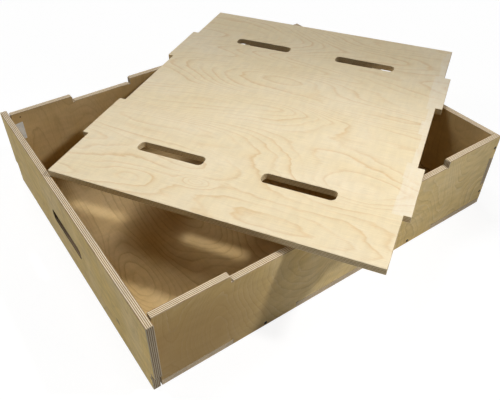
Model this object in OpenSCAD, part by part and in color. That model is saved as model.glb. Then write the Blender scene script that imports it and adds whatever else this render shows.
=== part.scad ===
// Shallow plywood chuck box with a loose tabbed lid.
// The box stands on z = 0 with its centre over the origin. The handle end is
// at -X, the plain end at +X, the front panel at -Y and the back panel at +Y.
// The lid lies askew across the top edges, as it is laid down when opened.

/* [Box] */
// Outside length, from the handle end's outer face to the plain end's
box_l = 736; // [660:2:840]
// Outside width, from the front panel's outer face to the back panel's
box_w = 595; // [521:2:701]
// Height of the front, back and plain end panels
box_h = 162; // [148:1:210]
// Thickness of the plywood
ply_t = 12; // [10:0.5:15]

/* [Finger joints] */
// Gap on each side of a finger, tooth or tab inside the box's own joints
joint_clear = 0.15; // [0.05:0.05:0.4]
// Height of the plain end's finger at each corner
finger_h = 60; // [36:1:66]
// Height of that finger's middle above the bottom
finger_z = 82; // [76:1:92]
// Length of each tooth that a side panel drops past the base
tooth_l = 127; // [80:1:150]
// Distance between the centres of the two teeth of a long panel
tooth_pitch = 328; // [280:2:380]
// Distance between the centres of the two teeth of the plain end
end_tooth_pitch = 264; // [220:2:320]
// Radius of the cutter's relief past an inside corner
relief_r = 2; // [1:0.1:3]

/* [Handle end] */
// How far the handle end reaches past each long panel's outer face
ear_l = 12; // [8:0.5:18]
// Height of the notched foot under the ears
foot_h = 42; // [30:1:60]
// Gap between the handle end and the ends of the long panels
seam = 2; // [0.5:0.1:2.5]
// Height of the hand slot's centre above the bottom
handle_slot_z = 76; // [60:1:90]
// How far the hand slot's centre lies from the panel's middle, towards the back
handle_slot_y = 6; // [-20:1:20]

/* [Hand slots] */
// Length of a hand slot
slot_l = 127; // [100:1:150]
// Width of a hand slot
slot_w = 25; // [20:0.5:32]
// Radius in the corners of a hand slot
slot_r = 9; // [5:0.5:10]

/* [Lid] */
// Length of a lid tab
tab_l = 127; // [80:1:150]
// Distance between the centres of the two tabs on one edge
tab_pitch = 328; // [280:2:380]
// Gap on each side of a tab in its notch
tab_clear = 1; // [0.5:0.1:2]
// Gap between the closed lid and the handle end
lid_gap_handle = 10; // [5:0.5:15]
// Gap between the closed lid and the plain end
lid_gap_plain = 1; // [0.5:0.1:3]
// Gap between the closed lid and each long panel
lid_gap_side = 0.4; // [0.3:0.1:1.5]
// Distance between hand slots along the lid
slot_pitch_x = 448; // [400:2:480]
// Distance between hand slots across the lid
slot_pitch_y = 233; // [200:1:260]
// Radius on the lid's and the notches' outside corners
corner_r = 4; // [2:0.5:6]

/* [How the lid lies] */
// Angle that the laid-down lid is turned by
lid_turn = 32.6; // [20:0.2:40]
// Place of the laid-down lid's centre along the box
lid_x = 87; // [60:1:110]
// Place of the laid-down lid's centre across the box
lid_y = 9; // [-10:1:30]

/* [Screws] */
// Diameter of the screw's shank
screw_d = 3.5; // [3:0.1:4]
// Diameter of the screw's head
screw_head_d = 6.8; // [6:0.1:8]
// Length of the screw
screw_l = 32; // [25:1:40]
// How far a screw head lies below the wood
screw_sink = 0.6; // [0.2:0.1:1]
// Radial gap round a screw in its pilot hole
pilot_clear = 0.05; // [0.02:0.01:0.1]

/* [Dowels] */
// Diameter of the dowels that hold the handle end
dowel_d = 6; // [5:0.5:7]
// Depth of a dowel in the handle end
dowel_in_handle = 8; // [6:0.5:9]
// Depth of a dowel in a side panel's end or in the base
dowel_in_panel = 18; // [12:1:25]
// Radial gap round a dowel
dowel_clear = 0.05; // [0.02:0.01:0.1]
// Height of the lower side dowels above the bottom
side_dowel_up = 30; // [20:1:40]
// Distance of the upper side dowels below the top
side_dowel_down = 40; // [30:1:60]
// Distance between the dowels along the base's end
base_dowel_pitch = 200; // [120:5:230]

/* [Hidden] */
$fn = 48;
eps = 0.5;

half_l = box_l / 2;
half_w = box_w / 2;
// Inner faces of the panels
in_handle = -half_l + ply_t;
in_plain = half_l - ply_t;
in_side = half_w - ply_t;
// Where the long panels begin, beside the handle end
side_start = in_handle + seam;
// The plain end's corner finger
finger_lo = finger_z - finger_h / 2;
finger_hi = finger_z + finger_h / 2;
// The lid in its closed place
lid_lo = in_handle + lid_gap_handle;
lid_hi = in_plain - lid_gap_plain;
lid_half_w = in_side - lid_gap_side;
notch_l = tab_l + 2 * tab_clear;
lid_edge_r = 1.5;
foot_r = 2;
// How far a relief bites into the wall it runs beside
relief_bite = 0.3;
// Screw proportions
shank_r = screw_d / 2;
head_r = screw_head_d / 2;
head_cone = head_r - shank_r;
shank_clear = 0.25;
clear_hole_r = shank_r + shank_clear;
pilot_over = 1;
tip_l = 4;
drive_w = 1;
drive_l = 3.8;
drive_deep = 1.6;
// Dowels
dowel_r = dowel_d / 2;
dowel_l = dowel_in_handle + dowel_in_panel + seam;
base_dowel_l = dowel_in_handle + dowel_in_panel;
dowel_chamfer = 0.6;

birch = [0.86, 0.76, 0.58];
birch_dark = [0.66, 0.56, 0.38];
beech = [0.78, 0.62, 0.42];
blackened = [0.10, 0.09, 0.09];

// Rectangle between two corners
module rect(x0, y0, x1, y1) {
    translate([x0, y0]) square([x1 - x0, y1 - y0]);
}

// Rectangle with round corners, about the origin
module round_rect(l, w, r) {
    square([l - 2 * r, w], center = true);
    square([l, w - 2 * r], center = true);
    for (sx = [-1, 1], sy = [-1, 1])
        translate([sx * (l / 2 - r), sy * (w / 2 - r)]) circle(r);
}

// What is cut away to round an outside corner at the origin of a piece that fills the
// quadrant towards -sx and -sy
module corner_cut(r, sx, sy) {
    difference() {
        translate([sx > 0 ? -r : -eps, sy > 0 ? -r : -eps]) square(r + eps);
        translate([-sx * r, -sy * r]) circle(r);
    }
}

// Cutter's relief beside a gap's wall at x, half past the gap's end at y: side is where
// the gap lies from the wall
module relief(x, y, side) {
    translate([x + side * (relief_r - relief_bite), y]) circle(relief_r);
}

// Notch for one lid tab, cut down from a top edge: round lips, relieved inside corners
module lid_notch() {
    rect(-notch_l / 2, -ply_t, notch_l / 2, eps);
    for (s = [-1, 1]) {
        translate([s * notch_l / 2, 0]) corner_cut(corner_r, -s, 1);
        relief(s * notch_l / 2, -ply_t, -s);
    }
}

// Outline of a long panel in X and Z: lid notches above, gaps for the base's tabs below
// and a gap for the plain end's finger
module long_outline() {
    tooth_half = tooth_l / 2 - joint_clear;
    outer_tooth = tooth_pitch / 2 + tooth_half;
    inner_tooth = tooth_pitch / 2 - tooth_half;
    difference() {
        rect(side_start, 0, half_l, box_h);
        for (s = [-1, 1]) translate([s * tab_pitch / 2, box_h]) lid_notch();
        rect(side_start - eps, -eps, -outer_tooth, ply_t);
        rect(-inner_tooth, -eps, inner_tooth, ply_t);
        rect(outer_tooth, -eps, half_l + eps, ply_t);
        for (s = [-1, 1]) {
            relief(s * outer_tooth, ply_t, s);
            relief(s * inner_tooth, ply_t, -s);
        }
        rect(in_plain, finger_lo - joint_clear, half_l + eps, finger_hi + joint_clear);
        for (s = [-1, 1])
            relief(in_plain, finger_z + s * (finger_h / 2 + joint_clear), 1);
    }
}

// Outline of the plain end in Y and Z: a finger at each corner and two teeth below
module plain_end_outline() {
    tooth_half = tooth_l / 2 - joint_clear;
    rect(-in_side, ply_t, in_side, box_h);
    rect(-half_w, finger_lo, half_w, finger_hi);
    for (s = [-1, 1]) translate([s * end_tooth_pitch / 2, 0])
        rect(-tooth_half, 0, tooth_half, ply_t);
}

// Outline of the handle end in Y and Z: ears above a foot as wide as the box
module handle_end_outline() {
    difference() {
        union() {
            rect(-half_w, 0, half_w, foot_h + eps);
            rect(-half_w - ear_l, foot_h, half_w + ear_l, box_h);
        }
        for (s = [-1, 1]) {
            translate([s * (half_w + ear_l), box_h]) corner_cut(foot_r, s, 1);
            translate([s * (half_w + ear_l), foot_h]) corner_cut(foot_r, s, -1);
            relief(s * half_w, foot_h, s);
        }
        translate([handle_slot_y, handle_slot_z]) round_rect(slot_l, slot_w, slot_r);
    }
}

// Outline of the base in X and Y: tabs to the outer faces, cut out for the panels' teeth
module base_outline() {
    difference() {
        rect(in_handle, -half_w, half_l, half_w);
        for (sy = [-1, 1]) {
            for (sx = [-1, 1]) translate([sx * tooth_pitch / 2, sy * (half_w + eps - (ply_t + eps) / 2)])
                square([tooth_l, ply_t + eps], center = true);
            rect(in_handle - eps, sy > 0 ? in_side : -half_w - eps,
                side_start, sy > 0 ? half_w + eps : -in_side);
            translate([half_l + eps - (ply_t + eps) / 2, sy * end_tooth_pitch / 2])
                square([ply_t + eps, tooth_l], center = true);
        }
    }
}

// Outline of the lid in its closed place: two tabs on each long edge, four hand slots
module lid_outline() {
    difference() {
        union() {
            rect(lid_lo, -lid_half_w, lid_hi, lid_half_w);
            for (s = [-1, 1]) translate([s * tab_pitch / 2, 0])
                square([tab_l, box_w], center = true);
        }
        for (sy = [-1, 1]) {
            translate([lid_lo, sy * lid_half_w]) corner_cut(lid_edge_r, -1, sy);
            translate([lid_hi, sy * lid_half_w]) corner_cut(lid_edge_r, 1, sy);
            for (sx = [-1, 1]) {
                for (e = [-1, 1])
                    translate([sx * tab_pitch / 2 + e * tab_l / 2, sy * half_w])
                        corner_cut(lid_edge_r, e, sy);
                translate([sx * slot_pitch_x / 2, sy * slot_pitch_y / 2])
                    rotate(90) round_rect(slot_l, slot_w, slot_r);
            }
        }
    }
}

// One countersunk wood screw: the wood's face at z = 0, the point towards -Z
module screw() {
    difference() {
        rotate_extrude() polygon([
            [0, -screw_sink], [head_r, -screw_sink], [shank_r, -screw_sink - head_cone],
            [shank_r, tip_l - screw_l], [0, -screw_l]
        ]);
        for (a = [0, 90]) rotate(a) translate([0, 0, -screw_sink - drive_deep / 2 + eps / 2])
            cube([drive_l, drive_w, drive_deep + eps], center = true);
    }
}

// The hole for one screw: countersunk and loose through the first board, a pilot in the second
module screw_hole() {
    mouth_r = head_r + pilot_clear;
    pilot_r = shank_r + pilot_clear;
    cone_end = -screw_sink - (mouth_r - clear_hole_r);
    pilot_end = -screw_l - pilot_over;
    rotate_extrude() polygon([
        [0, eps], [mouth_r, eps], [mouth_r, -screw_sink], [clear_hole_r, cone_end],
        [clear_hole_r, -ply_t], [pilot_r, -ply_t], [pilot_r, pilot_end], [0, pilot_end]
    ]);
}

// Puts its children at the corner screws of one long panel, in the middle of its own
// fingers: side is -1 front, 1 back
module at_corner_screws(side) {
    for (z = [(ply_t + finger_lo) / 2, (finger_hi + box_h) / 2])
        translate([half_l - ply_t / 2, side * half_w, z]) rotate([-side * 90, 0, 0]) children();
}

// Puts its children at the screws through the plain end's corner fingers
module at_end_corner_screws() {
    for (s = [-1, 1])
        translate([half_l, s * (half_w - ply_t / 2), finger_z]) rotate([0, 90, 0]) children();
}

// Puts its children at the screws through one long panel's teeth
module at_base_screws(side) {
    for (s = [-1, 1])
        translate([s * tooth_pitch / 2, side * half_w, ply_t / 2]) rotate([-side * 90, 0, 0])
            children();
}

// Puts its children at the screws through the plain end's teeth
module at_end_base_screws() {
    for (s = [-1, 1])
        translate([half_l, s * end_tooth_pitch / 2, ply_t / 2]) rotate([0, 90, 0]) children();
}

// Puts its children at the blind ends, in the handle end, of one long panel's dowels
module at_side_dowels(side) {
    for (z = [side_dowel_up, box_h - side_dowel_down])
        translate([in_handle - dowel_in_handle, side * (half_w - ply_t / 2), z])
            rotate([0, 90, 0]) children();
}

// Puts its children at the blind ends, in the handle end, of the base's dowels
module at_base_dowels() {
    for (i = [-1, 0, 1])
        translate([in_handle - dowel_in_handle, i * base_dowel_pitch, ply_t / 2])
            rotate([0, 90, 0]) children();
}

// One dowel along +Z with chamfered ends
module dowel(l) {
    rotate_extrude() polygon([
        [0, 0], [dowel_r - dowel_chamfer, 0], [dowel_r, dowel_chamfer],
        [dowel_r, l - dowel_chamfer], [dowel_r - dowel_chamfer, l], [0, l]
    ]);
}

// The blind bore for one dowel, through both boards
module dowel_hole(l) {
    translate([0, 0, -dowel_clear]) cylinder(r = dowel_r + dowel_clear, h = l + 2 * dowel_clear);
}

// A long panel: side is -1 for the front, 1 for the back
module long_panel(side) {
    difference() {
        translate([0, side > 0 ? half_w : -in_side, 0]) rotate([90, 0, 0])
            linear_extrude(ply_t) long_outline();
        at_corner_screws(side) screw_hole();
        at_base_screws(side) screw_hole();
        at_end_corner_screws() screw_hole();
        at_side_dowels(side) dowel_hole(dowel_l);
    }
}

module front_panel() {
    color(birch_dark) long_panel(-1);
}

module back_panel() {
    color(birch_dark) long_panel(1);
}

module plain_end_panel() {
    color(birch) difference() {
        translate([in_plain, 0, 0]) rotate([90, 0, 90]) linear_extrude(ply_t) plain_end_outline();
        for (side = [-1, 1]) at_corner_screws(side) screw_hole();
        at_end_corner_screws() screw_hole();
        at_end_base_screws() screw_hole();
    }
}

module handle_end_panel() {
    color(birch) difference() {
        translate([-half_l, 0, 0]) rotate([90, 0, 90]) linear_extrude(ply_t) handle_end_outline();
        for (side = [-1, 1]) at_side_dowels(side) dowel_hole(dowel_l);
        at_base_dowels() dowel_hole(base_dowel_l);
    }
}

module base_panel() {
    color(birch) difference() {
        linear_extrude(ply_t) base_outline();
        for (side = [-1, 1]) at_base_screws(side) screw_hole();
        at_end_base_screws() screw_hole();
        at_base_dowels() dowel_hole(base_dowel_l);
    }
}

module lid() {
    color(birch) translate([lid_x, lid_y, box_h]) rotate(lid_turn)
        linear_extrude(ply_t) lid_outline();
}

module front_corner_screws() {
    color(blackened) at_corner_screws(-1) screw();
}

module back_corner_screws() {
    color(blackened) at_corner_screws(1) screw();
}

module end_corner_screws() {
    color(blackened) at_end_corner_screws() screw();
}

module front_base_screws() {
    color(blackened) at_base_screws(-1) screw();
}

module back_base_screws() {
    color(blackened) at_base_screws(1) screw();
}

module end_base_screws() {
    color(blackened) at_end_base_screws() screw();
}

module side_dowels() {
    color(beech) for (side = [-1, 1]) at_side_dowels(side) dowel(dowel_l);
}

module base_dowels() {
    color(beech) at_base_dowels() dowel(base_dowel_l);
}

base_panel();
front_panel();
back_panel();
handle_end_panel();
plain_end_panel();
lid();
front_corner_screws();
back_corner_screws();
end_corner_screws();
front_base_screws();
back_base_screws();
end_base_screws();
side_dowels();
base_dowels();
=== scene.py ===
"""Looks of a shallow birch plywood chuck box with a loose, tabbed lid.

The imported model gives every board, screw and dowel its size and place. Each board
is shown here by a sanded copy with eased edges, birch veneer on its faces and nine
plies on its edges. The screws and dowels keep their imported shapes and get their
finishes, and a small blank label sits inside the back panel.
"""

from __future__ import annotations

import logging
import math
from dataclasses import dataclass, field
from enum import Enum

import bpy
from mathutils import Matrix, Vector


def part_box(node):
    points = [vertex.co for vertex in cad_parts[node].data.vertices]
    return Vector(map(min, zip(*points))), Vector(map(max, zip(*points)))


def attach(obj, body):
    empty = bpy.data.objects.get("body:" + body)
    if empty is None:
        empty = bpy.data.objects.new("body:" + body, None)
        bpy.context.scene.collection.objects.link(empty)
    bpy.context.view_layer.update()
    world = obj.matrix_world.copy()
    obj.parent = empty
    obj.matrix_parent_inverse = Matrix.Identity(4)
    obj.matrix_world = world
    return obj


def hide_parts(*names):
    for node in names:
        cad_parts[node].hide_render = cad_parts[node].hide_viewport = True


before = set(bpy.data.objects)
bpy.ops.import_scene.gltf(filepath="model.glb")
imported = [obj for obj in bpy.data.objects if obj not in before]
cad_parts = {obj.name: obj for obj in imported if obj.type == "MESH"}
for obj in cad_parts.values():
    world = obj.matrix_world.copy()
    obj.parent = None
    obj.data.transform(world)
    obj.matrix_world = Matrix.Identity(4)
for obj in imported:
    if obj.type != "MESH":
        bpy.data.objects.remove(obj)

LOG = logging.getLogger("chuck_box")

Colour = tuple[float, float, float, float]
Triple = tuple[float, float, float]
Socket = bpy.types.NodeSocket
Value = Socket | float

MM = 0.001
PLY_COUNT = 9

# The curve between a screen's values and linear light
SCREEN_MAX = 255
CURVE_KNEE = 0.04045
CURVE_SLOPE = 12.92
CURVE_OFFSET = 0.055
CURVE_POWER = 2.4

# Where a Mix node keeps its share, its two colours and its result
MIX_SHARE, MIX_FIRST, MIX_SECOND, MIX_RESULT = 0, 6, 7, 2


class Body(Enum):
    """The two bodies that pieces ride on."""

    BOX = "box"
    LID = "lid"


class Axis(Enum):
    """A direction of a board in its own, unturned coordinates."""

    X = 0
    Y = 1
    Z = 2


def linear(channel: int) -> float:
    """Takes the screen's curve off one channel.

    Args:
        channel: The channel as it is seen, from 0 to 255.

    Returns:
        Its linear light, from 0 to 1.
    """
    share = channel / SCREEN_MAX
    if share <= CURVE_KNEE:
        return share / CURVE_SLOPE
    return ((share + CURVE_OFFSET) / (1 + CURVE_OFFSET)) ** CURVE_POWER


def tone(red: int, green: int, blue: int) -> Colour:
    """Turns a colour as it is seen on a screen into the linear one that shaders use.

    Args:
        red: Red, from 0 to 255.
        green: Green, from 0 to 255.
        blue: Blue, from 0 to 255.

    Returns:
        The linear colour, opaque.
    """
    return (linear(red), linear(green), linear(blue), 1.0)


def shade(colour: Colour, share: float) -> Colour:
    """Darkens a colour.

    Args:
        colour: The colour.
        share: How much of its light is left.

    Returns:
        The darker colour, opaque.
    """
    red, green, blue, _ = colour
    return (red * share, green * share, blue * share, 1.0)


@dataclass(frozen=True)
class Grain:
    """Noise stretched over a face: its cells to a metre across and along the grain.

    Its shift is added to a board's own seed. Its depth scales a third place that varies.
    """

    across: float
    along: float
    detail: float = 2.0
    rough: float = 0.5
    depth: float = 1.0
    shift: float = 0.0


# The veneer: broad clouds, rolled fibres, fibres, pores, faded lines and sanding marks
CLOUD = Grain(9.0, 5.0, 3.0, 0.6, shift=11)
ROLL = Grain(26.0, 90.0, shift=13)
FIBRE = Grain(700.0, 20.0, 3.0, 0.65)
PORE = Grain(1300.0, 110.0, 1.0, shift=17)
FADE = Grain(13.0, 6.0, depth=0.83)
SCRAPE = Grain(60.0, 200.0, 3.0)

# The plies: how they waver, their fibres and pores, each ply's own tone, and dirt
PLY_WAVER = Grain(30.0, 30.0, 3.0)
PLY_FIBRE = Grain(70.0, 70.0, 3.0, 0.65, depth=9000.0)
PLY_PORE = Grain(1100.0, 1100.0, 2.0, 0.6, depth=2500.0)
PLY_TONE = Grain(9.0, 9.0, depth=7.3)
PLY_DIRT = Grain(22.0, 22.0, 4.0, 0.7, depth=60.0)


class Graph:
    """Adds and joins the shader nodes of one material."""

    def __init__(self, name: str) -> None:
        """Starts an empty material.

        Args:
            name: The material's name.
        """
        self.material = bpy.data.materials.new(name)
        self.material.use_nodes = True
        self.tree = self.material.node_tree
        self.tree.nodes.clear()

    def node(self, kind: str, **settings: object) -> bpy.types.Node:
        """Adds one node.

        Args:
            kind: Blender's type name of the node.
            settings: Properties to set on it.

        Returns:
            The new node.
        """
        made = self.tree.nodes.new(kind)
        for key, value in settings.items():
            setattr(made, key, value)
        return made

    def feed(self, socket: Socket, value: Value | Colour | Vector) -> None:
        """Joins a socket to an output, or sets the socket's own value.

        Args:
            socket: The input to fill.
            value: An output socket, a number, a colour or a vector.
        """
        if isinstance(value, bpy.types.NodeSocket):
            self.tree.links.new(value, socket)
        else:
            socket.default_value = value

    def math(self, operation: str, first: Value, second: Value = 0.0) -> Socket:
        """Adds a math node.

        Args:
            operation: Blender's name of the operation.
            first: The first number.
            second: The second number, where the operation has one.

        Returns:
            The result.
        """
        made = self.node("ShaderNodeMath", operation=operation)
        self.feed(made.inputs[0], first)
        self.feed(made.inputs[1], second)
        return made.outputs[0]

    def fit(
        self, value: Value, low: float, high: float, to_low: float = 0.0, to_high: float = 1.0
    ) -> Socket:
        """Maps a range to another one smoothly, and clamps it.

        Args:
            value: The number to map.
            low: The value that gives to_low.
            high: The value that gives to_high.
            to_low: The result at low.
            to_high: The result at high.

        Returns:
            The mapped number.
        """
        made = self.node("ShaderNodeMapRange", interpolation_type="SMOOTHSTEP", clamp=True)
        for socket, number in zip(made.inputs, (value, low, high, to_low, to_high)):
            self.feed(socket, number)
        return made.outputs[0]

    def mix(
        self, share: Value, first: Value | Colour, second: Value | Colour, blend: str = "MIX"
    ) -> Socket:
        """Mixes two colours.

        Args:
            share: How much of the second colour is taken, from 0 to 1.
            first: The colour at 0.
            second: The colour at 1.
            blend: Blender's name of the blend mode.

        Returns:
            The mixed colour.
        """
        made = self.node("ShaderNodeMix", data_type="RGBA", blend_type=blend)
        self.feed(made.inputs[MIX_SHARE], share)
        self.feed(made.inputs[MIX_FIRST], first)
        self.feed(made.inputs[MIX_SECOND], second)
        return made.outputs[MIX_RESULT]

    def point(self, x: Value, y: Value, z: Value) -> Socket:
        """Joins three numbers to a point.

        Args:
            x: The first number.
            y: The second number.
            z: The third number.

        Returns:
            The point.
        """
        made = self.node("ShaderNodeCombineXYZ")
        for socket, number in zip(made.inputs, (x, y, z)):
            self.feed(socket, number)
        return made.outputs[0]

    def place(self, scale: Triple) -> Socket:
        """Reads a surface point in the object's own coordinates.

        Args:
            scale: Cells to a metre in each direction.

        Returns:
            The scaled point.
        """
        source = self.node("ShaderNodeTexCoord")
        stretch = self.node("ShaderNodeMapping")
        self.feed(stretch.inputs["Vector"], source.outputs["Object"])
        self.feed(stretch.inputs["Scale"], Vector(scale))
        return stretch.outputs[0]

    def noise(
        self, point: Socket, detail: float = 2.0, rough: float = 0.5, twist: float = 0.0
    ) -> Socket:
        """Adds noise with one cell to a unit of its point.

        Args:
            point: Where the noise is read.
            detail: How many finer layers it has.
            rough: How strong the finer layers are.
            twist: How far the noise is warped by itself.

        Returns:
            The noise, about 0.5 in the middle.
        """
        made = self.node("ShaderNodeTexNoise", noise_dimensions="3D")
        self.feed(made.inputs["Vector"], point)
        settings = {"Scale": 1.0, "Detail": detail, "Roughness": rough, "Distortion": twist}
        for name, number in settings.items():
            self.feed(made.inputs[name], number)
        return made.outputs["Fac"]

    def finish(
        self, colour: Socket, rough: Value, height: Socket, depth: float, specular: float = 0.5
    ) -> bpy.types.Material:
        """Closes the material with one shader.

        Args:
            colour: The base colour.
            rough: The roughness.
            height: What the bump follows.
            depth: The bump's depth in metres.
            specular: The strength of the gloss.

        Returns:
            The finished material.
        """
        bump = self.node("ShaderNodeBump")
        self.feed(bump.inputs["Distance"], depth)
        self.feed(bump.inputs["Height"], height)
        shader = self.node("ShaderNodeBsdfPrincipled")
        self.feed(shader.inputs["Base Color"], colour)
        self.feed(shader.inputs["Roughness"], rough)
        self.feed(shader.inputs["Specular IOR Level"], specular)
        self.feed(shader.inputs["Normal"], bump.outputs[0])
        out = self.node("ShaderNodeOutputMaterial")
        self.feed(out.inputs["Surface"], shader.outputs[0])
        return self.material


@dataclass(frozen=True)
class Face:
    """A surface point of a board in its material: how far across and along the grain it is."""

    graph: Graph
    across: Socket
    along: Socket

    def spread(self, grain: Grain, third: Value, twist: float = 0.0) -> Socket:
        """Adds noise that is stretched over the face.

        Args:
            grain: The noise.
            third: A seed, which is shifted, or a third place, which the noise's depth scales.
            twist: How far the noise is warped by itself.

        Returns:
            The noise, about 0.5 in the middle.
        """
        graph = self.graph
        if isinstance(third, bpy.types.NodeSocket):
            third = graph.math("MULTIPLY", third, grain.depth)
        else:
            third += grain.shift
        x = graph.math("MULTIPLY", self.across, grain.across)
        y = graph.math("MULTIPLY", self.along, grain.along)
        return graph.noise(graph.point(x, y, third), grain.detail, grain.rough, twist)


@dataclass(frozen=True)
class Lay:
    """How a board lies: its middle, its turn about the upright, its plies and its grain."""

    middle: Vector
    through: Axis
    grain: Axis
    turn: float = 0.0

    @property
    def across(self) -> Axis:
        """The direction over the face, square to the grain."""
        return next(axis for axis in Axis if axis not in (self.through, self.grain))

    def direction(self, axis: Axis) -> Vector:
        """Turns one of the board's own directions into the model's."""
        own = Vector([float(index == axis.value) for index in range(3)])
        return Matrix.Rotation(self.turn, 3, "Z") @ own

    def read(self, graph: Graph) -> tuple[Face, Socket]:
        """Reads a surface point in the board's own directions, in metres from its middle.

        Args:
            graph: The material that asks.

        Returns:
            The point on the face, and its place through the plies.
        """
        source = graph.node("ShaderNodeTexCoord")
        own = graph.node("ShaderNodeMapping", vector_type="TEXTURE")
        graph.feed(own.inputs["Vector"], source.outputs["Object"])
        graph.feed(own.inputs["Location"], self.middle)
        graph.feed(own.inputs["Rotation"], Vector((0, 0, self.turn)))
        split = graph.node("ShaderNodeSeparateXYZ")
        graph.feed(split.inputs[0], own.outputs[0])
        across, along, through = (
            split.outputs[axis.value] for axis in (self.across, self.grain, self.through)
        )
        return Face(graph, across, along), through


@dataclass(frozen=True)
class Spot:
    """An oval place on a board's face: its middle and its radii, in metres."""

    across: float
    along: float
    across_r: float
    along_r: float

    def far_squared(self, face: Face) -> Socket:
        """Measures how far a surface point is from the spot's middle.

        Args:
            face: The surface point.

        Returns:
            The square of the distance, which is 1 at the spot's rim.
        """
        graph = face.graph
        x = graph.math("DIVIDE", graph.math("SUBTRACT", face.across, self.across), self.across_r)
        y = graph.math("DIVIDE", graph.math("SUBTRACT", face.along, self.along), self.along_r)
        return graph.math("ADD", graph.math("MULTIPLY", x, x), graph.math("MULTIPLY", y, y))


@dataclass(frozen=True)
class Island(Spot):
    """A hill or a hollow in the veneer's figure, ringed by its growth lines."""

    lift: float

    def height(self, face: Face) -> Socket:
        """Builds the island's share of the figure's height.

        Args:
            face: The surface point.

        Returns:
            Its height here, which fades to 0 past its rim.
        """
        graph = face.graph
        far = self.far_squared(face)
        fall = graph.math("EXPONENT", graph.math("MULTIPLY", far, -1.0))
        return graph.math("MULTIPLY", fall, self.lift)


@dataclass(frozen=True)
class Smudge(Spot):
    """A soft mark on a face or a cut, such as a dent, or painted shade."""

    colour: Colour
    strength: float
    inner: float = 0.2

    def lay(self, face: Face, colour: Socket) -> Socket:
        """Lays the mark over a colour.

        Args:
            face: The surface point.
            colour: The colour so far.

        Returns:
            The colour with the mark.
        """
        graph = face.graph
        far = graph.math("SQRT", self.far_squared(face))
        share = graph.fit(far, 1.0, self.inner, 0.0, self.strength)
        return graph.mix(share, colour, self.colour)


@dataclass(frozen=True)
class Band:
    """A pale, freshly sanded band along a board's edge, whose inner side goes in steps.

    The edge and the depths are along the grain, and the start, stop and step across it.
    """

    edge: float
    depth_low: float
    depth_high: float
    start: float
    stop: float
    step: float
    colour: Colour
    strength: float
    rim: float = MM
    fade: float = 1.5 * MM

    def lay(self, face: Face, colour: Socket) -> Socket:
        """Lays the band over a colour.

        Args:
            face: The surface point.
            colour: The colour so far.

        Returns:
            The colour with the band.
        """
        graph = face.graph
        cell = graph.math("FLOOR", graph.math("DIVIDE", face.across, self.step))
        draw = graph.point(graph.math("MULTIPLY", cell, 0.77), 0.3, 0.6)
        depth = graph.noise(draw, detail=0.0)
        depth = graph.fit(depth, 0.3, 0.7, self.depth_low, self.depth_high)
        far = graph.math("SUBTRACT", face.along, self.edge)
        inside = graph.fit(graph.math("SUBTRACT", far, depth), 0.0, -self.fade)
        started = graph.fit(face.across, self.start - self.rim, self.start + self.rim)
        stopped = graph.fit(face.across, self.stop + self.rim, self.stop - self.rim)
        share = graph.math("MULTIPLY", graph.math("MULTIPLY", started, stopped), inside)
        scrape = face.spread(SCRAPE, 2.0)
        scraped = graph.fit(scrape, 0.3, 0.7, 0.6 * self.strength, self.strength)
        return graph.mix(graph.math("MULTIPLY", share, scraped), colour, self.colour)


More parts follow.
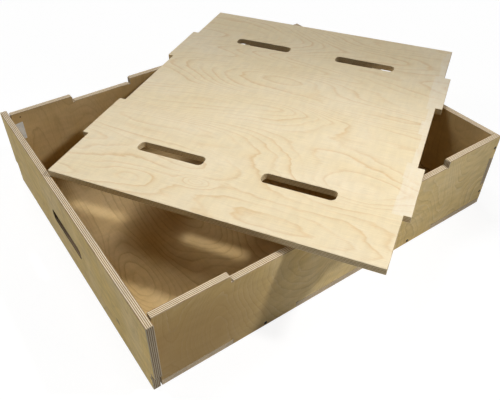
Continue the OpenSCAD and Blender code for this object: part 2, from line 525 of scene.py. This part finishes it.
@dataclass(frozen=True)
class Veneer:
    """Sanded birch veneer: a pale ground, wavy growth lines, fibre streaks and pores."""

    name: str
    ground: Colour
    line: Colour
    patch: Colour
    seed: float
    rings: float
    ring_strength: float
    ring_width: float = 0.2
    across_rate: float = 6.0
    along_rate: float = 2.2
    waver: float = 0.035
    glow: float = 0.0
    patchiness: float = 0.5
    mottle: float = 0.05
    gloss: float = 0.1
    relief: float = 0.12 * MM
    islands: tuple[Island, ...] = ()
    smudges: tuple[Smudge, ...] = ()
    bands: tuple[Band, ...] = ()

    def _figure(self, face: Face) -> Socket:
        """Builds the height whose contours are the growth lines.

        Args:
            face: The surface point.

        Returns:
            The height, rising by 1 from one growth line to the next.
        """
        graph = face.graph
        broad = Grain(self.across_rate, self.along_rate, 1.0, 0.4)
        ripple = Grain(5 * self.across_rate, 9 * self.along_rate, 3.0, 0.6, shift=3)
        height = face.spread(broad, self.seed, twist=0.3)
        waver = graph.math("MULTIPLY", face.spread(ripple, self.seed), self.waver)
        height = graph.math("ADD", height, waver)
        for island in self.islands:
            height = graph.math("ADD", height, island.height(face))
        return graph.math("MULTIPLY", height, self.rings)

    def _ring(self, graph: Graph, phase: Socket) -> Socket:
        """Draws one ring: a slow rise from the pale early wood to a fine dark line.

        Args:
            graph: The material.
            phase: The place between one growth line and the next, from 0 to 1.

        Returns:
            How dark the ring is here.
        """
        ramp = graph.node("ShaderNodeValToRGB")
        graph.feed(ramp.inputs[0], phase)
        stops = ramp.color_ramp.elements
        turning = 0.4
        for stop, place in zip(stops, (0.0, 1.0)):
            stop.position, stop.color = place, (turning, turning, turning, 1)
        peak = 1 - self.ring_width / 3
        pale, rise = 0.5 * self.ring_width, 1 - self.ring_width
        for place, dark in ((pale, 0.0), (0.6, 0.12), (rise, 0.35), (peak, 1.0)):
            stops.new(place).color = (dark, dark, dark, 1)
        return ramp.outputs[0]

    def _growth(self, face: Face, ground: Socket) -> Socket:
        """Draws the growth lines on the ground colour.

        Args:
            face: The surface point.
            ground: The ground colour.

        Returns:
            The colour with its lines, each dark with a pale line behind it.
        """
        graph = face.graph
        height = self._figure(face)
        phase = graph.math("FRACT", height)
        fade = face.spread(FADE, graph.math("FLOOR", height))
        strength = graph.fit(fade, 0.3, 0.68, 0.12 * self.ring_strength, self.ring_strength)
        share = graph.math("MULTIPLY", self._ring(graph, phase), strength)
        colour = graph.mix(share, ground, self.line)
        if self.glow:
            behind = graph.fit(phase, 0.3, 0.02, 0.0, self.glow)
            share = graph.math("MULTIPLY", behind, graph.fit(fade, 0.35, 0.65))
            colour = graph.mix(share, colour, self.patch)
        return colour

    def build(self, lay: Lay) -> bpy.types.Material:
        """Makes the veneer's material for one board.

        Args:
            lay: How the board lies.

        Returns:
            The material.
        """
        graph = Graph(self.name)
        face, _ = lay.read(graph)
        cloud = graph.fit(face.spread(CLOUD, self.seed), 0.35, 0.7, 0.0, self.patchiness)
        colour = self._growth(face, graph.mix(cloud, self.ground, self.patch))
        # Silky bars where the fibres roll, square to the grain
        roll = face.spread(ROLL, self.seed)
        bars = graph.fit(roll, 0.3, 0.7, 1 - self.mottle, 1 + 0.4 * self.mottle)
        fibre = face.spread(FIBRE, self.seed)
        light = graph.math("ADD", bars, graph.fit(fibre, 0.25, 0.75, -0.06, 0.04))
        colour = graph.mix(1.0, colour, graph.point(light, light, light), "MULTIPLY")
        pores = graph.fit(face.spread(PORE, self.seed), 0.64, 0.78, 0.0, 0.35)
        colour = graph.mix(pores, colour, self.line)
        for mark in self.bands + self.smudges:
            colour = mark.lay(face, colour)
        rough = graph.fit(fibre, 0.2, 0.8, 0.50, 0.62)
        height = graph.math("SUBTRACT", fibre, graph.math("MULTIPLY", pores, 2.0))
        return graph.finish(colour, rough, height, self.relief, self.gloss)


@dataclass(frozen=True)
class PlyEdge:
    """A cut edge of birch plywood: nine plies, pale where their fibres lie along the cut."""

    name: str
    pale: Colour
    dark: Colour
    glue: Colour
    face: Colour
    grime: Colour
    seed: float
    grime_strength: float
    # Painted shade: how much light is left on the cuts along the face's grain
    long_cut_shade: float
    smudges: tuple[Smudge, ...] = ()
    rough: float = 0.72
    relief: float = 0.2 * MM
    gloss: float = 0.2

    def build(self, lay: Lay, thickness: float, outer_pale: bool) -> bpy.types.Material:
        """Makes the edge's material for one board and one direction of cut.

        Args:
            lay: How the board lies.
            thickness: The board's thickness in metres.
            outer_pale: Whether the face plies' fibres lie along this cut.

        Returns:
            The material.
        """
        graph = Graph(f"{self.name}_{'long' if outer_pale else 'cross'}")
        face, through = lay.read(graph)
        waver = face.spread(PLY_WAVER, self.seed)
        level = graph.math("MULTIPLY", through, PLY_COUNT / thickness)
        level = graph.math("ADD", level, PLY_COUNT / 2)
        level = graph.math("ADD", level, graph.fit(waver, 0.2, 0.8, -0.16, 0.16))
        ply = graph.math("FLOOR", level)
        odd = graph.math("FRACT", graph.math("MULTIPLY", ply, 0.5))
        odd = graph.math("GREATER_THAN", odd, 0.25)
        across_ply = odd if outer_pale else graph.math("SUBTRACT", 1.0, odd)
        # Painted shade darkens the cuts along the face's grain, which mostly face sideways
        left = self.long_cut_shade if outer_pale else 1.0
        pale_tone, dark_tone, glue_tone, face_tone, grime_tone = (
            shade(colour, left)
            for colour in (self.pale, self.dark, self.glue, self.face, self.grime)
        )
        # Fibres run along the cut in a pale ply and stand out of it in a dark one
        fibre = face.spread(PLY_FIBRE, through)
        pore = face.spread(PLY_PORE, through)
        pale = graph.mix(graph.fit(fibre, 0.3, 0.75, 0.0, 0.25), pale_tone, dark_tone)
        dark = graph.mix(graph.fit(pore, 0.4, 0.7, 0.0, 0.5), dark_tone, glue_tone)
        colour = graph.mix(across_ply, pale, dark)
        own = face.spread(PLY_TONE, ply)
        colour = graph.mix(graph.fit(own, 0.35, 0.7, 0.0, 0.15), colour, face_tone)
        # A dark glue line between one ply and the next
        rim = graph.math("SUBTRACT", graph.math("FRACT", level), 0.5)
        rim = graph.math("ABSOLUTE", rim)
        colour = graph.mix(graph.fit(rim, 0.40, 0.49, 0.0, 0.7), colour, glue_tone)
        dirt = face.spread(PLY_DIRT, through)
        grimed = graph.fit(dirt, 0.42, 0.7, 0.25 * self.grime_strength, self.grime_strength)
        colour = graph.mix(grimed, colour, grime_tone)
        for smudge in self.smudges:
            colour = smudge.lay(face, colour)
        height = graph.math(
            "SUBTRACT", graph.math("MULTIPLY", pore, 0.7), graph.math("MULTIPLY", rim, 0.8)
        )
        return graph.finish(colour, self.rough, height, self.relief, self.gloss)


@dataclass(frozen=True)
class BlackSteel:
    """Phosphated screw steel: near black, with a dry, mottled sheen."""

    name: str = "black_screw_steel"
    dark: Colour = (0.006, 0.0055, 0.005, 1.0)
    worn: Colour = (0.02, 0.019, 0.018, 1.0)
    cells: Triple = (900.0, 900.0, 900.0)
    relief: float = 0.03 * MM

    def build(self) -> bpy.types.Material:
        """Makes the material.

        Returns:
            The material.
        """
        graph = Graph(self.name)
        mottle = graph.noise(graph.place(self.cells), detail=3.0)
        colour = graph.mix(graph.fit(mottle, 0.45, 0.75), self.dark, self.worn)
        rough = graph.fit(mottle, 0.3, 0.7, 0.42, 0.62)
        return graph.finish(colour, rough, mottle, self.relief, 0.3)


@dataclass(frozen=True)
class BareBeech:
    """Beech dowel wood with short dark flecks along its length."""

    name: str = "bare_beech"
    ground: Colour = tone(206, 160, 112)
    fleck: Colour = tone(150, 98, 58)
    cells: Triple = (300.0, 2200.0, 2200.0)
    relief: float = 0.05 * MM

    def build(self) -> bpy.types.Material:
        """Makes the material.

        Returns:
            The material.
        """
        graph = Graph(self.name)
        grain = graph.noise(graph.place(self.cells))
        colour = graph.mix(graph.fit(grain, 0.5, 0.72, 0.0, 0.8), self.ground, self.fleck)
        return graph.finish(colour, 0.6, grain, self.relief, 0.3)


@dataclass(frozen=True)
class LabelPaper:
    """Coated blank paper, a little scuffed."""

    name: str = "blank_label_paper"
    white: Colour = tone(246, 250, 254)
    scuff: Colour = tone(214, 222, 230)
    cells: Triple = (160.0, 160.0, 160.0)
    relief: float = 0.06 * MM

    def build(self) -> bpy.types.Material:
        """Makes the material.

        Returns:
            The material.
        """
        graph = Graph(self.name)
        scuffs = graph.noise(graph.place(self.cells), detail=5.0, rough=0.7)
        colour = graph.mix(graph.fit(scuffs, 0.48, 0.7, 0.0, 0.6), self.white, self.scuff)
        rough = graph.fit(scuffs, 0.3, 0.7, 0.3, 0.5)
        return graph.finish(colour, rough, scuffs, self.relief)


def only(piece: bpy.types.Object) -> None:
    """Selects one object and nothing else.

    Args:
        piece: The object.
    """
    bpy.ops.object.select_all(action="DESELECT")
    piece.select_set(True)
    bpy.context.view_layer.objects.active = piece


@dataclass
class Board:
    """One plywood board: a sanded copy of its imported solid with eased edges."""

    node: str
    body: Body
    lay: Lay
    veneer: Veneer
    edge: PlyEdge
    ease: float = 0.6 * MM
    ease_segments: int = 2
    weld: float = 0.01 * MM
    flat_angle: float = math.radians(0.5)
    sharp_angle: float = math.radians(60)
    smooth_angle: float = math.radians(12)
    # A face is veneer above this cosine to the plies, and end grain above the other
    face_cosine: float = 0.97
    end_cosine: float = 0.6
    screw_reach: float = 4.5 * MM
    screw_axes: list[tuple[Vector, Vector]] = field(default_factory=list)

    @property
    def thickness(self) -> float:
        """The board's thickness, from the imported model.

        Returns:
            The thickness in metres.
        """
        low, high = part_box(self.node)
        index = self.lay.through.value
        return high[index] - low[index]

    def build(self) -> bpy.types.Object:
        """Makes the board.

        Returns:
            The finished piece, which rides on its body and stands for its node.
        """
        piece = self._copy()
        self._ease_edges(piece)
        self._dress(piece)
        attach(piece, self.body.value)
        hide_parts(self.node)
        faces = len(piece.data.polygons)
        LOG.info("%s: %d faces, %.1f mm thick", piece.name, faces, self.thickness / MM)
        return piece

    def _copy(self) -> bpy.types.Object:
        """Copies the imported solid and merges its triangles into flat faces.

        Returns:
            The copy.
        """
        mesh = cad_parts[self.node].data.copy()
        mesh.materials.clear()
        piece = bpy.data.objects.new(f"{self.node}_board", mesh)
        bpy.context.scene.collection.objects.link(piece)
        only(piece)
        bpy.ops.object.mode_set(mode="EDIT")
        bpy.ops.mesh.select_all(action="SELECT")
        bpy.ops.mesh.remove_doubles(threshold=self.weld)
        bpy.ops.mesh.dissolve_limited(angle_limit=self.flat_angle)
        bpy.ops.object.mode_set(mode="OBJECT")
        return piece

    def _near_screw(self, point: Vector) -> bool:
        """Tells whether a point lies in the mouth of a screw's or a dowel's hole.

        Args:
            point: The point.

        Returns:
            True where it does.
        """
        for place, way in self.screw_axes:
            off = point - place
            if (off - way * off.dot(way)).length < self.screw_reach:
                return True
        return False

    def _ease_edges(self, piece: bpy.types.Object) -> None:
        """Sands every long sharp edge to a small round, and leaves the holes' mouths crisp.

        Args:
            piece: The board.
        """
        bpy.context.tool_settings.mesh_select_mode = (False, True, False)
        bpy.ops.object.mode_set(mode="EDIT")
        bpy.ops.mesh.select_all(action="DESELECT")
        bpy.ops.mesh.edges_select_sharp(sharpness=self.sharp_angle)
        bpy.ops.object.mode_set(mode="OBJECT")
        mesh = piece.data
        for edge in mesh.edges:
            ends = [mesh.vertices[index].co for index in edge.vertices]
            if edge.select and self._near_screw((ends[0] + ends[1]) / 2):
                edge.select = False
        bpy.ops.object.mode_set(mode="EDIT")
        bpy.ops.mesh.bevel(
            offset=self.ease, segments=self.ease_segments, affect="EDGES", clamp_overlap=False
        )
        bpy.ops.mesh.select_all(action="SELECT")
        bpy.ops.mesh.normals_make_consistent(inside=False)
        bpy.ops.object.mode_set(mode="OBJECT")
        bpy.ops.object.shade_smooth_by_angle(angle=self.smooth_angle)

    def _dress(self, piece: bpy.types.Object) -> None:
        """Gives the faces their veneer and the cuts their plies.

        Args:
            piece: The board.
        """
        mesh = piece.data
        face_wood, long_cut, cross_cut = range(3)
        for material in (
            self.veneer.build(self.lay),
            self.edge.build(self.lay, self.thickness, outer_pale=True),
            self.edge.build(self.lay, self.thickness, outer_pale=False),
        ):
            mesh.materials.append(material)
        through = self.lay.direction(self.lay.through)
        grain = self.lay.direction(self.lay.grain)
        for face in mesh.polygons:
            if abs(face.normal.dot(through)) > self.face_cosine:
                face.material_index = face_wood
            elif abs(face.normal.dot(grain)) < self.end_cosine:
                face.material_index = long_cut
            else:
                face.material_index = cross_cut


@dataclass
class Carcass:
    """The box without its lid: five boards, their screws and their dowels."""

    screw_nodes: tuple[str, ...] = tuple(
        f"{side}_{row}_screws" for row in ("corner", "base") for side in ("front", "back", "end")
    )
    dowel_nodes: tuple[str, ...] = ("side_dowels", "base_dowels")
    # The veneers' grounds, growth lines and patches
    outer_tones: tuple[Colour, ...] = (
        tone(214, 187, 126), tone(156, 122, 70), tone(226, 208, 168)
    )
    handle_tones: tuple[Colour, ...] = (
        tone(212, 182, 106), tone(156, 122, 70), tone(226, 208, 168)
    )
    inner_tones: tuple[Colour, ...] = (
        tone(214, 184, 130), tone(138, 98, 50), tone(224, 199, 156)
    )
    # Painted shade laid over the front panel towards its handle end
    front_painted_shade: Colour = tone(146, 116, 70)
    bruise: Colour = tone(58, 44, 26)
    # Painted shade in the walls of the hand hole
    slot_shade_tone: Colour = tone(74, 54, 30)
    pale_ply: Colour = tone(254, 243, 216)
    dark_ply: Colour = tone(168, 132, 88)
    glue: Colour = tone(108, 82, 56)
    face_ply: Colour = tone(230, 194, 130)
    grime: Colour = tone(160, 150, 134)

    def _edge(
        self,
        name: str,
        seed: float,
        grime: float,
        long_cut_shade: float = 0.6,
        smudges: tuple[Smudge, ...] = (),
    ) -> PlyEdge:
        """Makes one board's edge finish.

        Args:
            name: The finish's name.
            seed: Where its noise starts.
            grime: How strong the grime is.
            long_cut_shade: How much light painted shade leaves on the cuts along the face's grain.
            smudges: Marks on the cuts.

        Returns:
            The finish.
        """
        tones = (self.pale_ply, self.dark_ply, self.glue, self.face_ply, self.grime)
        return PlyEdge(name, *tones, seed, grime, long_cut_shade, smudges)

    @staticmethod
    def _middle(node: str) -> Vector:
        """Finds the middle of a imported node."""
        low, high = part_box(node)
        return (low + high) / 2

    @property
    def cross_screws(self) -> tuple[str, ...]:
        """The screw nodes whose screws run across the box."""
        return tuple(name for name in self.screw_nodes if not name.startswith("end_"))

    def _hole_axes(self) -> list[tuple[Vector, Vector]]:
        """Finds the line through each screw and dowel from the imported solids.

        Returns:
            A point on each line and the line's direction.
        """
        axes = []
        for name in self.screw_nodes + self.dowel_nodes:
            way = Vector((0, 1, 0)) if name in self.cross_screws else Vector((1, 0, 0))
            for cluster in loose_parts(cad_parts[name].data):
                axes.append((sum(cluster, Vector()) / len(cluster), way))
        return axes

    def _front_veneer(self) -> Veneer:
        """Makes the front panel's veneer, with painted shade that darkens it towards the handle
        end.

        Returns:
            The veneer.
        """
        # Painted shade darkens the front panel towards the handle end
        front_painted_shade = Smudge(-0.33, -0.02, 0.30, 0.22, self.front_painted_shade, 0.8, 0.15)
        return Veneer(
            "front_veneer", *self.outer_tones, 4.0, rings=44.0, ring_strength=0.42, across_rate=6.0,
            along_rate=4.0, glow=0.45, waver=0.03, mottle=0.1, smudges=(front_painted_shade,),
        )

    def _back_veneer(self) -> Veneer:
        """Makes the back panel's veneer, with a small hole mark by the label.

        Returns:
            The veneer.
        """
        mark = Smudge(-0.3447, 0.0717, 0.0018, 0.0018, self.bruise, 1.0, 0.6)
        return Veneer(
            "back_veneer", *self.inner_tones, 9.0, rings=44.0, ring_strength=0.25, across_rate=5.0,
            along_rate=1.6, smudges=(mark,),
        )

    def _handle_veneer(self) -> Veneer:
        """Makes the handle end's veneer, with two bruises near its front corner.

        Returns:
            The veneer.
        """
        bruises = (
            Smudge(-0.190, -0.035, 0.010, 0.007, self.bruise, 0.55, 0.3),
            Smudge(-0.2945, -0.0535, 0.004, 0.004, self.bruise, 0.9, 0.4),
        )
        return Veneer(
            "handle_end_veneer", *self.handle_tones, 14.0, rings=24.0,
            ring_strength=0.3, across_rate=9.0, along_rate=2.0, mottle=0.12,
            patchiness=0.35, smudges=bruises,
        )

    def _base_veneer(self) -> Veneer:
        """Makes the base's veneer, with two ringed islands in the part that is seen.

        Returns:
            The veneer.
        """
        islands = (
            Island(-0.13, -0.17, 0.05, 0.10, 0.1),
            Island(-0.02, -0.03, 0.05, 0.12, -0.1),
        )
        return Veneer(
            "base_veneer", *self.inner_tones, 24.0, rings=46.0, ring_strength=0.42, across_rate=5.5,
            along_rate=2.0, waver=0.02, islands=islands,
        )

    def boards(self) -> list[Board]:
        """Lists the carcass's boards with their finishes.

        Returns:
            The five boards.
        """
        axes = self._hole_axes()
        upright, end, flat = (Axis.Y, Axis.Z), (Axis.X, Axis.Z), (Axis.Z, Axis.Y)
        plain_veneer = Veneer("plain_end_veneer", *self.inner_tones, 19.0, 40.0, 0.3)
        # Painted shade darkens the walls of the hand hole
        slot_shade = Smudge(0.006, -0.005, 0.09, 0.03, self.slot_shade_tone, 0.85, 0.8)
        handle_edge = self._edge("handle_end_plies", 3.0, 0.3, 0.5, (slot_shade,))
        specs = (
            ("front_panel", upright, self._front_veneer(), self._edge("front_plies", 1.0, 0.15)),
            ("back_panel", upright, self._back_veneer(), self._edge("back_plies", 2.0, 0.1)),
            ("handle_end_panel", end, self._handle_veneer(), handle_edge),
            ("plain_end_panel", end, plain_veneer, self._edge("plain_end_plies", 4.0, 0.15)),
            ("base_panel", flat, self._base_veneer(), self._edge("base_plies", 5.0, 0.6, 0.85)),
        )
        return [
            Board(node, Body.BOX, Lay(self._middle(node), *lie), veneer, edge, screw_axes=axes)
            for node, lie, veneer, edge in specs
        ]

    def build(self) -> None:
        """Builds the boards and dresses the screws and dowels."""
        for board in self.boards():
            board.build()
        steel, beech = BlackSteel().build(), BareBeech().build()
        for names, material in ((self.screw_nodes, steel), (self.dowel_nodes, beech)):
            for name in names:
                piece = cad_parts[name]
                piece.data.materials.clear()
                piece.data.materials.append(material)
                LOG.info("%s: %s", name, material.name)


def loose_parts(mesh: bpy.types.Mesh, reach: float = 40 * MM) -> list[list[Vector]]:
    """Groups a mesh's corners into its separate solids, by their distance.

    Args:
        mesh: The mesh of a node that holds several solids.
        reach: More than the length of one solid, and less than the way to the next.

    Returns:
        One list of corners for each solid.
    """
    groups: list[list[Vector]] = []
    for vertex in mesh.vertices:
        for group in groups:
            if (group[0] - vertex.co).length < reach:
                group.append(vertex.co.copy())
                break
        else:
            groups.append([vertex.co.copy()])
    return groups


@dataclass
class Lid:
    """The loose lid, laid askew on the box."""

    middle: Vector = field(default_factory=lambda: Vector((0.087, 0.009, 0.168)))
    turn: float = math.radians(32.6)
    ground: Colour = tone(240, 222, 184)
    line: Colour = tone(214, 168, 100)
    patch: Colour = tone(245, 231, 204)
    sanded: Colour = tone(246, 237, 220)
    islands: tuple[Island, ...] = (
        Island(0.004, -0.012, 0.030, 0.075, 0.09),
        Island(0.096, 0.021, 0.03, 0.10, -0.07),
        Island(-0.303, 0.147, 0.02, 0.05, 0.06),
        Island(-0.278, 0.043, 0.012, 0.024, 0.08),
        Island(-0.199, -0.191, 0.03, 0.07, 0.06),
        Island(-0.233, 0.081, 0.03, 0.06, -0.06),
    )
    plies: PlyEdge = PlyEdge(
        "lid_plies",
        pale=tone(254, 240, 204),
        dark=tone(204, 172, 120),
        glue=tone(112, 86, 54),
        face=tone(244, 216, 162),
        grime=tone(150, 126, 88),
        seed=6.0,
        grime_strength=0.25,
        long_cut_shade=1.0,
    )

    def build(self) -> bpy.types.Object:
        """Builds the lid's board.

        Returns:
            The finished lid.
        """
        band = Band(-0.2975, 22 * MM, 32 * MM, -0.230, 0.342, 0.046, self.sanded, 0.45)
        veneer = Veneer(
            "lid_veneer", self.ground, self.line, self.patch, 37.0, rings=36.0,
            ring_strength=0.44, ring_width=0.24, across_rate=6.5, along_rate=1.3,
            mottle=0.035, glow=0.25, islands=self.islands, bands=(band,),
        )
        lay = Lay(self.middle, Axis.Z, Axis.Y, self.turn)
        return Board("lid", Body.LID, lay, veneer, self.plies).build()


@dataclass
class Label:
    """A small blank label stuck in the corner of the back panel's inner face."""

    right: float = -336 * MM
    left: float = -353 * MM
    low: float = 103 * MM
    high: float = 141.5 * MM
    lift: float = 0.25 * MM
    paper: float = 0.15 * MM
    cells: tuple[int, int] = (6, 12)
    curl_reaches: tuple[float, ...] = (12 * MM, 9 * MM, 6.5 * MM, 4 * MM)
    curl_step: float = 0.5 * MM
    smooth_angle: float = math.radians(40)

    def build(self) -> bpy.types.Object:
        """Builds the label as a thin sheet whose free corner curls a little.

        Returns:
            The finished label.
        """
        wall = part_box("back_panel")[0].y - self.lift
        width, tall = self.right - self.left, self.high - self.low
        bpy.ops.object.select_all(action="DESELECT")
        bpy.ops.mesh.primitive_grid_add(
            x_subdivisions=self.cells[0],
            y_subdivisions=self.cells[1],
            size=1.0,
            location=((self.left + self.right) / 2, wall, (self.low + self.high) / 2),
            rotation=(math.pi / 2, 0, 0),
        )
        label = bpy.context.active_object
        label.name = "blank_label"
        label.scale = (width, tall, 1)
        only(label)
        bpy.ops.object.transform_apply(location=True, rotation=True, scale=True)
        corner = Vector((self.left, wall, self.high))
        for reach in self.curl_reaches:
            self._lift_corner(label, corner, reach)
        thick = label.modifiers.new("paper", "SOLIDIFY")
        thick.thickness = self.paper
        only(label)
        bpy.ops.object.modifier_apply(modifier=thick.name)
        bpy.ops.object.shade_smooth_by_angle(angle=self.smooth_angle)
        label.data.materials.append(LabelPaper().build())
        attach(label, Body.BOX.value)
        LOG.info("blank_label: %.0f x %.0f mm", width / MM, tall / MM)
        return label

    def _lift_corner(self, label: bpy.types.Object, corner: Vector, reach: float) -> None:
        """Pulls the part of the sheet that is near one corner a step off the wall.

        Args:
            label: The sheet.
            corner: The corner.
            reach: How far from the corner the pull reaches.
        """
        bpy.context.tool_settings.mesh_select_mode = (True, False, False)
        bpy.ops.object.mode_set(mode="EDIT")
        bpy.ops.mesh.select_all(action="DESELECT")
        bpy.ops.object.mode_set(mode="OBJECT")
        for vertex in label.data.vertices:
            off = vertex.co - corner
            vertex.select = Vector((off.x, off.z)).length < reach
        bpy.ops.object.mode_set(mode="EDIT")
        bpy.ops.transform.translate(value=(0, -self.curl_step, 0))
        bpy.ops.object.mode_set(mode="OBJECT")


@dataclass(frozen=True)
class FarLamp:
    """A large studio lamp far off: its direction, its strength and its spread in radians."""

    name: str
    way: Triple
    strength: float
    spread: float = 0.36

    def build(self) -> bpy.types.Object:
        """Hangs the lamp.

        Returns:
            The lamp.
        """
        data = bpy.data.lights.new(self.name, "SUN")
        data.angle = self.spread
        data.energy = self.strength
        return hang(self.name, data, Vector(self.way), Vector(self.way))


@dataclass(frozen=True)
class KeyLamp:
    """A soft-edged round lamp near the object: its direction, aim and power in watts."""

    name: str
    way: Triple
    aim: Triple
    power: float
    distance: float = 2.5
    cone: float = 0.55
    radius: float = 0.11

    def build(self) -> bpy.types.Object:
        """Hangs the lamp.

        Returns:
            The lamp.
        """
        data = bpy.data.lights.new(self.name, "SPOT")
        data.energy = self.power
        data.spot_size = self.cone
        data.spot_blend = 1.0
        data.shadow_soft_size = self.radius
        way = Vector(self.way)
        lamp = hang(self.name, data, way, Vector(self.aim) + way.normalized() * self.distance)
        lamp.visible_camera = False
        return lamp


def hang(name: str, data: bpy.types.Light, way: Vector, place: Vector) -> bpy.types.Object:
    """Hangs a lamp that shines against a direction.

    Args:
        name: The lamp's name.
        data: Its light.
        way: The direction from what it lights to the lamp.
        place: Where the lamp hangs.

    Returns:
        The lamp.
    """
    lamp = bpy.data.objects.new(name, data)
    lamp.location = place
    lamp.rotation_mode = "QUATERNION"
    lamp.rotation_quaternion = (-way).to_track_quat("-Z", "Y")
    bpy.context.scene.collection.objects.link(lamp)
    return lamp


def seen_rays(tree: bpy.types.NodeTree) -> Socket:
    """Tells the rays that show the background from those that only light the object.

    Args:
        tree: The node tree of the floor's material or of the room.

    Returns:
        1 for rays from the camera, from a gloss or through a clear surface, 0 for others.
    """
    path = tree.nodes.new("ShaderNodeLightPath")
    ray = path.outputs["Is Camera Ray"]
    for name in ("Is Glossy Ray", "Is Transmission Ray"):
        either = tree.nodes.new("ShaderNodeMath")
        either.operation = "MAXIMUM"
        tree.links.new(ray, either.inputs[0])
        tree.links.new(path.outputs[name], either.inputs[1])
        ray = either.outputs[0]
    return ray


@dataclass
class Studio:
    """A pale floor, soft lamps round the object and the photograph's camera."""

    floor_size: float = 14.0
    floor_colour: Colour = (0.8, 0.8, 0.79, 1.0)
    shadow_colour: Colour = (0.2, 0.2, 0.2, 1.0)
    floor_white: float = 0.88
    room_light: float = 0.02
    eye: Vector = field(default_factory=lambda: Vector((-0.5075, -0.7268, 0.7539)))
    heading: float = math.radians(34.03)
    tilt: float = math.radians(41.27)
    roll: float = math.radians(-0.38)
    sensor: float = 36.0
    lens: float = 40.23
    shift_x: float = 0.0252
    shift_y: float = -0.0018
    far_clip: float = 100.0
    lamps: tuple[FarLamp | KeyLamp, ...] = (
        FarLamp("back_right_light", (0.30, 0.92, 0.26), 0.36),
        FarLamp("back_left_light", (-0.30, 0.92, 0.26), 0.34),
        FarLamp("high_back_light", (0.03, 0.67, 0.74), 0.55),
        FarLamp("top_light", (0.0, 0.5, 0.87), 0.34),
        FarLamp("high_left_light", (-0.29, 0.37, 0.88), 0.56, 0.26),
        FarLamp("left_light", (-0.745, 0.18, 0.64), 0.28),
        FarLamp("low_front_light", (0.53, -0.74, 0.40), 0.24, 0.26),
        KeyLamp("key_light", (0.527, -0.438, 0.728), (-0.20, -0.2, 0.05), 137.0),
    )

    def build(self) -> None:
        """Sets the view, floor, room and lamps."""
        scene = bpy.context.scene
        scene.view_settings.view_transform = "Standard"
        self._camera(scene)
        self._floor()
        self._room(scene)
        for lamp in self.lamps:
            lamp.build()

    def _camera(self, scene: bpy.types.Scene) -> None:
        """Places the camera where the photograph was taken from.

        Args:
            scene: The scene that looks through it.
        """
        data = bpy.data.cameras.new("camera")
        data.sensor_width = self.sensor
        data.lens = self.lens
        data.shift_x = self.shift_x
        data.shift_y = self.shift_y
        data.clip_end = self.far_clip
        camera = bpy.data.objects.new("camera", data)
        ahead = Vector((
            math.sin(self.heading) * math.cos(self.tilt),
            math.cos(self.heading) * math.cos(self.tilt),
            -math.sin(self.tilt),
        ))
        level = Vector((math.cos(self.heading), -math.sin(self.heading), 0))
        above = level.cross(ahead)
        right = level * math.cos(self.roll) + above * math.sin(self.roll)
        up = right.cross(ahead)
        turn = Matrix((right, up, -ahead)).transposed()
        camera.matrix_world = Matrix.Translation(self.eye) @ turn.to_4x4()
        scene.collection.objects.link(camera)
        scene.camera = camera

    def _floor(self) -> None:
        """Lays a pale floor that looks white to the camera and keeps a soft shadow."""
        bpy.ops.object.select_all(action="DESELECT")
        bpy.ops.mesh.primitive_plane_add(size=self.floor_size, location=(0, 0, 0))
        floor = bpy.context.active_object
        floor.name = "floor"
        graph = Graph("pale_floor")
        paper = graph.node("ShaderNodeBsdfDiffuse")
        graph.feed(paper.inputs["Color"], self.floor_colour)
        shadow = graph.node("ShaderNodeBsdfDiffuse")
        graph.feed(shadow.inputs["Color"], self.shadow_colour)
        white = graph.node("ShaderNodeEmission")
        graph.feed(white.inputs["Strength"], self.floor_white)
        seen = graph.node("ShaderNodeAddShader")
        graph.feed(seen.inputs[0], shadow.outputs[0])
        graph.feed(seen.inputs[1], white.outputs[0])
        pick = graph.node("ShaderNodeMixShader")
        graph.feed(pick.inputs[0], seen_rays(graph.tree))
        graph.feed(pick.inputs[1], paper.outputs[0])
        graph.feed(pick.inputs[2], seen.outputs[0])
        out = graph.node("ShaderNodeOutputMaterial")
        graph.feed(out.inputs["Surface"], pick.outputs[0])
        floor.data.materials.append(graph.material)

    def _room(self, scene: bpy.types.Scene) -> None:
        """Lights the room evenly, and shows it white to the camera.

        Args:
            scene: The scene whose world it is.
        """
        world = bpy.data.worlds.new("room")
        world.use_nodes = True
        tree = world.node_tree
        ground = tree.nodes["Background"]
        ground.inputs["Color"].default_value = (1, 1, 1, 1)
        strength = tree.nodes.new("ShaderNodeMapRange")
        strength.inputs["To Min"].default_value = self.room_light
        strength.inputs["To Max"].default_value = 1.0
        tree.links.new(seen_rays(tree), strength.inputs["Value"])
        tree.links.new(strength.outputs[0], ground.inputs["Strength"])
        scene.world = world


def main() -> None:
    """Builds the box, the lid, the label and the studio."""
    logging.basicConfig(level=logging.INFO, format="%(name)s: %(message)s")
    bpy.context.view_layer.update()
    Carcass().build()
    Lid().build()
    Label().build()
    Studio().build()
    LOG.info("sizes written")


if __name__ == "__main__":
    main()
